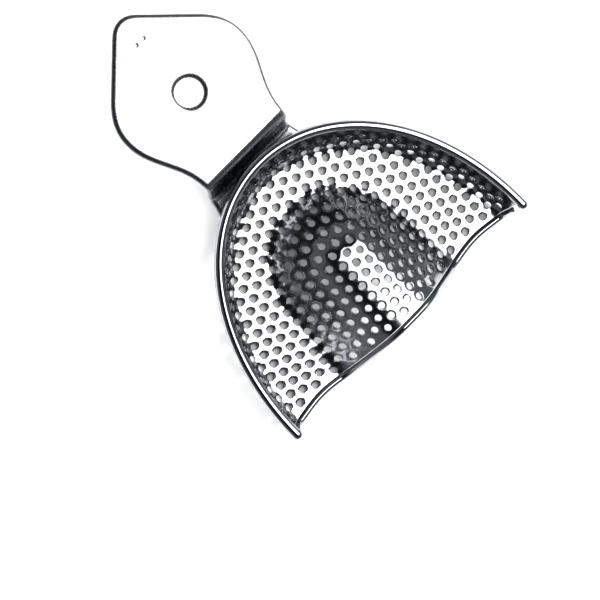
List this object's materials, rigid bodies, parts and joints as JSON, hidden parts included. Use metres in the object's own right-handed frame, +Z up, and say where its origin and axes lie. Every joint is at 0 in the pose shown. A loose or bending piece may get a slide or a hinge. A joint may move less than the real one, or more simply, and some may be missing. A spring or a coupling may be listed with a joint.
{
  "type": "dental impression tray",
  "caption": "Perforated upper-jaw impression tray: horseshoe trough round a raised palate vault, beaded rim, rear border wire and a flat pointed handle with a hanging hole.",
  "frame": {"origin": "middle of the bounding box's bottom face, level with the underside of the trough floor", "axes": "+Z up out of the trough, -Y along the handle to its tip, +Y towards the rear edge, X across the arms"},
  "size_m": [0.0732, 0.092, 0.0127],
  "materials": {
    "bowl_sheet": "polished stainless steel",
    "wire": "polished stainless steel",
    "handle_sheet": "finely brushed stainless steel",
    "solder": "smooth silver solder"
  },
  "bodies": {
    "root": {"perforated_bowl": "bowl_sheet", "rim_wire": "wire", "rear_edge_wire": "wire", "handle_plate": "handle_sheet", "handle_solder_fillet": "solder"}
  },
  "joints": []
}
